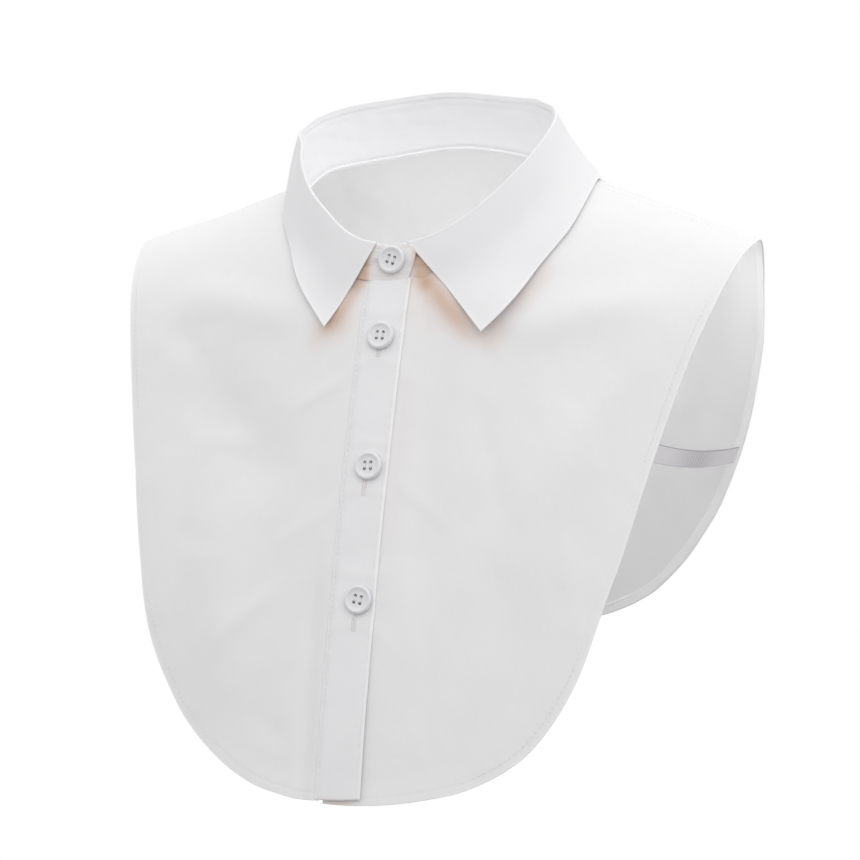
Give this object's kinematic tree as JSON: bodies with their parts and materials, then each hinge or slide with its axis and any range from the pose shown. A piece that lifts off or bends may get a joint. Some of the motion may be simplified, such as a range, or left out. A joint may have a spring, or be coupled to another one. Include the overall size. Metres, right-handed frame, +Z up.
{
  "type": "detachable shirt collar",
  "caption": "Detachable pointed shirt collar on a stand, sewn to a short buttoned front and back with open sides joined by elastics; worn under a sweater.",
  "frame": {"origin": "the middle of the wearer's neck, on the centre plane, 8.6 mm above the side of the neckline seam", "axes": "+X to the wearer's left, -Y to the front, +Z up, as it is worn standing"},
  "size_m": [0.3334, 0.2079, 0.3416],
  "materials": {
    "shirting": "white plain-woven cotton shirting, matt with a faint sheen",
    "pearl_button": "pearly white moulded resin with a soft gloss",
    "elastic": "white ribbed woven elastic, matt"
  },
  "bodies": {
    "root": {"front_right": "shirting", "front_left": "shirting", "back": "shirting", "placket": "shirting", "collar_stand": "shirting", "collar_leaf": "shirting", "elastic_left": "elastic", "elastic_right": "elastic", "button_1": "pearl_button", "button_2": "pearl_button", "button_3": "pearl_button", "button_4": "pearl_button"}
  },
  "joints": []
}
